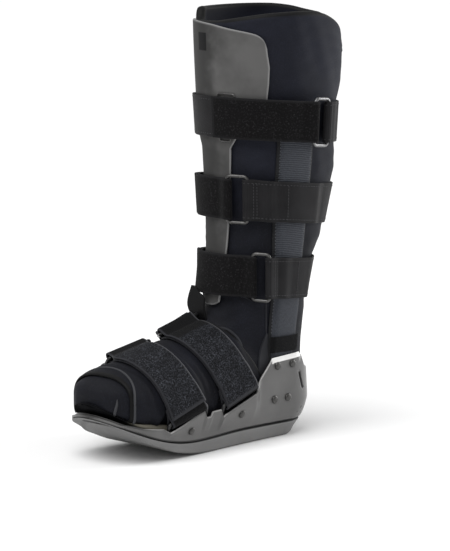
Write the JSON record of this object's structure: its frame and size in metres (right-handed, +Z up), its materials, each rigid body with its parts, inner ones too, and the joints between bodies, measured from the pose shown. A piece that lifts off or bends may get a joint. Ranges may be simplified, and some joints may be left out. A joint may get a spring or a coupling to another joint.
{
  "type": "walker boot",
  "caption": "Tall padded walker boot with a rocker sole, stiff foot shell, side uprights, shin plate and straps turned back through wire rings.",
  "frame": {"origin": "on the floor under the ankle, midway between the uprights", "axes": "+Z up the leg, toes towards -Y, +X towards the side with the strap ends"},
  "size_m": [0.1497, 0.3299, 0.4286],
  "materials": {
    "sole": "matt rocker sole",
    "shell": "satin moulded plastic",
    "insole": "bound foam board",
    "liner": "padded knit with a bound rim",
    "wrap": "padded knit with bound edges",
    "plate": "smooth satin sheet",
    "upright": "ribbed sleeve",
    "cuff": "loop pile",
    "webbing": "woven webbing",
    "fuzzy": "loop pile with flat edges",
    "wire": "dark bent wire",
    "rivet": "dark domes"
  },
  "bodies": {
    "root": {"sole": "sole", "shell": "shell", "insole": "insole", "liner": "liner", "foot_wrap": "wrap", "shin_plate": "plate", "upright_left": "upright", "upright_right": "upright", "upright_cuff_left": "cuff", "upright_cuff_right": "cuff", "instep_band": "webbing", "leg_strap_top": "webbing", "leg_strap_middle": "webbing", "leg_strap_low": "webbing", "foot_strap_front": "fuzzy", "foot_strap_rear": "fuzzy", "foot_strap_front_far": "fuzzy", "foot_strap_rear_far": "fuzzy", "leg_ring_top": "wire", "leg_ring_middle": "wire", "leg_ring_low": "wire", "foot_ring_front_far": "wire", "foot_ring_rear_far": "wire", "shell_ring_front_left": "wire", "shell_ring_front_right": "wire", "shell_ring_rear_left": "wire", "shell_ring_rear_right": "wire", "rivet_wing_front_left": "rivet", "rivet_wing_rear_left": "rivet", "rivet_tab_upper_front_left": "rivet", "rivet_tab_upper_rear_left": "rivet", "rivet_tab_lower_front_left": "rivet", "rivet_tab_lower_rear_left": "rivet", "rivet_wing_front_right": "rivet", "rivet_wing_rear_right": "rivet", "rivet_tab_upper_front_right": "rivet", "rivet_tab_upper_rear_right": "rivet", "rivet_tab_lower_front_right": "rivet", "rivet_tab_lower_rear_right": "rivet"}
  },
  "joints": []
}
